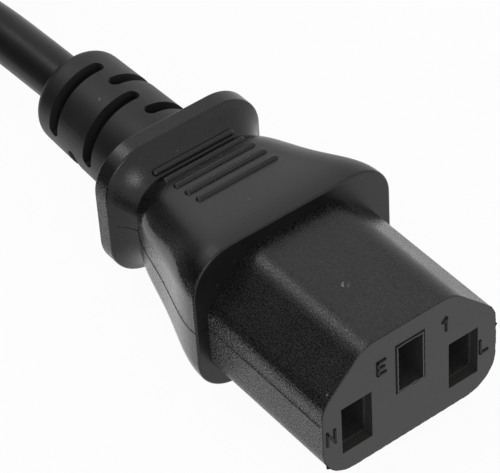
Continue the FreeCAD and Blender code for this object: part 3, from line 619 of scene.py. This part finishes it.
# The earth collar's lip: its half sizes and the height of its middle over the moulding's axis
LIP_HALF_WIDTH, LIP_HALF_HEIGHT = 1.74 * MM, 3.24 * MM
LIP_RISE = 2.1 * MM
LIP_WALL = 0.16 * MM
LIP_STEPS = 14
# How far it stands out of the mating face and reaches in
LIP_PROUD, LIP_SUNK = 0.1 * MM, 0.2 * MM
# The waves of its edge: their height, and how fast each runs across and up, in radians for each metre
LIP_WAVE = 0.03 * MM
LIP_RATES = ((2900, 5200), (-4300, 7100))


def make_collar_lip():
    """The uneven lip of the carrier's collar, which stands a little proud in the earth window."""
    corners = [(1, 1), (-1, 1), (-1, -1), (1, -1)]
    line = []
    for (a, b), (c, d) in zip(corners, corners[1:] + corners[:1]):
        normal = Vector(((a + c) / 2, 0, (b + d) / 2))
        for i in range(LIP_STEPS):
            share = i / LIP_STEPS
            across, up = a + (c - a) * share, b + (d - b) * share
            place = Vector((across * LIP_HALF_WIDTH, 0, AXIS_Z + LIP_RISE + up * LIP_HALF_HEIGHT))
            outward = normal if i else Vector((a, 0, b))
            line.append((place, outward))
    form = bmesh.new()
    ribbon(form, line, LIP_WALL, (FACE_Y - LIP_PROUD, FACE_Y + LIP_SUNK), closed=True)
    for vert in form.verts:
        if vert.co.y < FACE_Y:
            wave = sum(math.sin(across * vert.co.x + up * vert.co.z) for across, up in LIP_RATES)
            vert.co.y += LIP_WAVE * wave
    add("collar_lip", mesh_from(form, "collar_lip"), CARRIER)


# The flash round the face: where it runs, in degrees about the axis, and between which stations
FIN_START, FIN_END = -156, 16
FIN_STEPS = 172
FIN_FRONT, FIN_BACK = FACE_Y + 0.02 * MM, FACE_Y + 0.1 * MM
# The most that its uneven edge stands out, and how far it goes in from that edge
FIN_PROUD = 0.06 * MM
FIN_DEPTH = 0.4 * MM
# Where it is torn into spikes: the angle of each, its height, and half its width in degrees
FIN_SPIKES = ((-151, 0.2 * MM, 1.6), (0, 0.24 * MM, 1.2), (-9, 0.06 * MM, 8.0))


def make_face_flash():
    """The thin torn fringe that the mould left round the lower edge of the mating face."""
    tree = surface_of("connector_overmould")
    line = []
    for i in range(FIN_STEPS + 1):
        angle = FIN_START + (FIN_END - FIN_START) * i / FIN_STEPS
        outward = Vector((math.cos(math.radians(angle)), 0, math.sin(math.radians(angle))))
        found, normal = tree.ray_cast(Vector((0, FIN_BACK, AXIS_Z)) + outward * OUTSIDE, -outward)[:2]
        normal = Vector((normal.x, 0, normal.z)).normalized()
        proud = FIN_PROUD * (0.5 + 0.3 * math.sin(0.9 * angle) + 0.2 * math.sin(2.3 * angle))
        for middle, height, half_width in FIN_SPIKES:
            proud += height * max(0.0, 1 - abs(angle - middle) / half_width)
        line.append((found + normal * proud, normal))
    form = bmesh.new()
    ribbon(form, line, FIN_DEPTH, (FIN_FRONT, FIN_BACK), closed=False)
    add("face_flash", mesh_from(form, "face_flash"), FLASH)


# Stage

# The floor, how much of its look is plain white, and how bright the room's own light is
FLOOR_HALF_SIDE = 3.0
FLOOR_GREY = 0.9
WHITE_SHARE = 0.95
ROOM_LEVEL = 0.6
# The roughness of the floor and the dark sweep
MATT = 0.9


def joined(tree, operation, a, b):
    """A math node on two outputs, or on an output and a number."""
    made = tree.nodes.new("ShaderNodeMath")
    made.operation = operation
    tree.links.new(a, made.inputs[0])
    if isinstance(b, float):
        made.inputs[1].default_value = b
    else:
        tree.links.new(b, made.inputs[1])
    return made.outputs["Value"]


def seen_ray(tree):
    """1 for a ray from the camera, a reflection or a clear body, and 0 for the light on a surface."""
    ray = tree.nodes.new("ShaderNodeLightPath").outputs
    seen = joined(tree, "MAXIMUM", ray["Is Camera Ray"], ray["Is Glossy Ray"])
    return joined(tree, "MAXIMUM", seen, ray["Is Transmission Ray"])


def make_floor():
    """A pale floor that reads as white, in reflections too, and keeps a soft shadow."""
    form = bmesh.new()
    bmesh.ops.create_grid(form, x_segments=1, y_segments=1, size=FLOOR_HALF_SIDE)
    mesh = mesh_from(form, "floor")
    floor = bpy.data.objects.new("floor", mesh)
    bpy.context.scene.collection.objects.link(floor)
    material = bpy.data.materials.new("floor")
    material.use_nodes = True
    tree = material.node_tree
    bsdf = tree.nodes["Principled BSDF"]
    bsdf.inputs["Base Color"].default_value = (FLOOR_GREY, FLOOR_GREY, FLOOR_GREY, 1)
    bsdf.inputs["Roughness"].default_value = MATT
    white = tree.nodes.new("ShaderNodeEmission")
    white.inputs["Color"].default_value = (1, 1, 1, 1)
    mix = tree.nodes.new("ShaderNodeMixShader")
    tree.links.new(joined(tree, "MULTIPLY", seen_ray(tree), WHITE_SHARE), mix.inputs["Fac"])
    tree.links.new(bsdf.outputs["BSDF"], mix.inputs[1])
    tree.links.new(white.outputs["Emission"], mix.inputs[2])
    tree.links.new(mix.outputs["Shader"], tree.nodes["Material Output"].inputs["Surface"])
    mesh.materials.append(material)


def make_world():
    """White all round, in reflections too, and an even soft light."""
    world = bpy.data.worlds.new("studio")
    world.use_nodes = True
    tree = world.node_tree
    room = tree.nodes["Background"]
    room.inputs["Color"].default_value = (1, 1, 1, 1)
    room.inputs["Strength"].default_value = ROOM_LEVEL
    white = tree.nodes.new("ShaderNodeBackground")
    white.inputs["Color"].default_value = (1, 1, 1, 1)
    mix = tree.nodes.new("ShaderNodeMixShader")
    tree.links.new(seen_ray(tree), mix.inputs["Fac"])
    tree.links.new(room.outputs["Background"], mix.inputs[1])
    tree.links.new(white.outputs["Background"], mix.inputs[2])
    tree.links.new(mix.outputs["Shader"], tree.nodes["World Output"].inputs["Surface"])
    bpy.context.scene.world = world


# The soft boxes: place, width, height, and how bright the face is
LAMPS = {
    "key": ((-0.33, -0.64, 0.35), 0.25, 0.25, 7.0),
    "edge": ((-0.16, 0.54, 0.70), 0.3, 0.2, 5.5),
}


def make_lamp(name, place, width, height, level):
    """A soft box that faces the connector; level is how bright its face is, where white is 1."""
    lamp = bpy.data.lights.new(name, "AREA")
    lamp.shape = "RECTANGLE"
    lamp.size = width
    lamp.size_y = height
    lamp.energy = level * math.pi * width * height
    item = bpy.data.objects.new(name, lamp)
    bpy.context.scene.collection.objects.link(item)
    item.location = place
    item.rotation_mode = "QUATERNION"
    item.rotation_quaternion = (Vector((0, 0, AXIS_Z)) - Vector(place)).to_track_quat("-Z", "Y")
    item.visible_camera = False


# The dark sweep's edge beside the connector, its other edges, the height of its upright part, how far it
# lies over the floor, and its tone
SWEEP_NEAR, SWEEP_LEFT, SWEEP_FRONT, SWEEP_BACK = -0.024, -0.45, -0.04, 0.5
SWEEP_HEIGHT = 0.4
SWEEP_CLEAR = 0.5 * MM
SWEEP_GREY = 0.17


def make_dark_sweep():
    """A dark paper at the back left, for the dark side of the reflections, which only they show."""
    low = [
        (SWEEP_NEAR, SWEEP_FRONT),
        (SWEEP_NEAR, SWEEP_BACK),
        (SWEEP_LEFT, SWEEP_BACK),
        (SWEEP_LEFT, SWEEP_FRONT),
    ]
    form = bmesh.new()
    floor = [form.verts.new((x, y, SWEEP_CLEAR)) for x, y in low]
    top = [form.verts.new((x, y, SWEEP_HEIGHT)) for x, y in low[1:]]
    form.faces.new(floor)
    form.faces.new((floor[1], floor[2], top[1], top[0]))
    form.faces.new((floor[2], floor[3], top[2], top[1]))
    mesh = mesh_from(form, "dark_sweep")
    sweep = bpy.data.objects.new("dark_sweep", mesh)
    bpy.context.scene.collection.objects.link(sweep)
    for ray in ("camera", "diffuse", "transmission", "shadow"):
        setattr(sweep, f"visible_{ray}", False)
    material = bpy.data.materials.new("dark_sweep")
    material.use_nodes = True
    bsdf = material.node_tree.nodes["Principled BSDF"]
    bsdf.inputs["Base Color"].default_value = (SWEEP_GREY, SWEEP_GREY, SWEEP_GREY, 1)
    bsdf.inputs["Roughness"].default_value = MATT
    mesh.materials.append(material)


# The camera; its roll is in degrees, and its lens and sensor in millimetres
CAMERA_PLACE = Vector((-0.12440, -0.18088, 0.21260))
CAMERA_TARGET = Vector((0.00031, -0.00252, 0.0096))
CAMERA_ROLL = -3.91
LENS, SENSOR = 201.33, 36.0


def make_camera():
    """A long lens from the front left, above the connector."""
    data = bpy.data.cameras.new("camera")
    data.sensor_width = SENSOR
    data.lens = LENS
    data.clip_start = 0.01
    data.clip_end = 20
    camera = bpy.data.objects.new("camera", data)
    bpy.context.scene.collection.objects.link(camera)
    camera.location = CAMERA_PLACE
    camera.rotation_mode = "QUATERNION"
    aim = (CAMERA_TARGET - CAMERA_PLACE).to_track_quat("-Z", "Y")
    roll = Matrix.Rotation(math.radians(CAMERA_ROLL), 3, "Z").to_quaternion()
    camera.rotation_quaternion = aim @ roll
    bpy.context.scene.camera = camera


make_camera()
make_world()
make_floor()
make_dark_sweep()
for name, lamp in LAMPS.items():
    make_lamp(name, *lamp)
bpy.context.scene.view_settings.view_transform = "Standard"

dress_nodes()
cord = make_cord()
strap = make_strap()
for side, tag in ((-1, "left"), (1, "right")):
    make_parting_line(f"parting_{tag}", side)
for letter in MARK_PLACES:
    make_mark(letter)
make_collar_lip()
make_face_flash()
